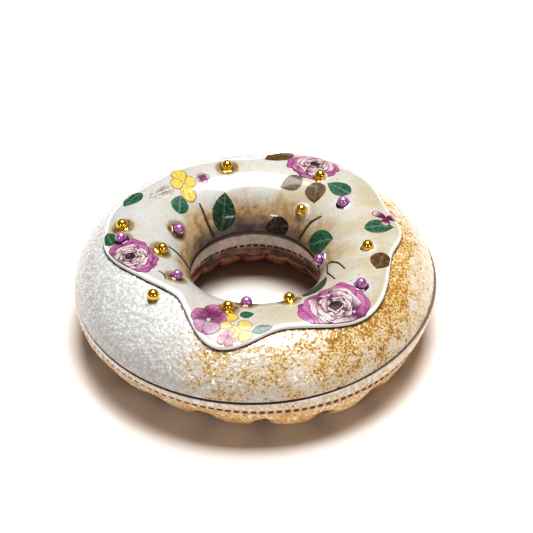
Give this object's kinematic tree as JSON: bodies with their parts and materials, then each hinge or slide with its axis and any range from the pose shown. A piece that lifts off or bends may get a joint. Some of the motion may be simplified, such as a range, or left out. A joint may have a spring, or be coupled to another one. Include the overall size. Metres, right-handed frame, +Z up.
{
  "type": "ceramic ring doughnut",
  "caption": "Life-size glazed ceramic ring doughnut: domed top, lobed base, wavy slab of icing with flower sprays and small lustre beads.",
  "frame": {"origin": "middle of the footprint, on the surface the doughnut stands on", "axes": "+Z up along the axis of the hole, -Y towards the side with the icing's longest drip"},
  "size_m": [0.0998, 0.1014, 0.0319],
  "materials": {
    "salt_glaze": "glossy, pebbled, ochre specks",
    "stained_glaze": "satin, rust in the creases",
    "icing_glaze": "glossy ivory",
    "flower_enamel": "glossy enamel colours fired on the icing",
    "gold_lustre": "mirror bright gold lustre",
    "lilac_lustre": "pearly lilac lustre"
  },
  "bodies": {
    "root": {"dough_top": "salt_glaze", "dough_base": "stained_glaze", "icing": "icing_glaze"}
  },
  "joints": []
}
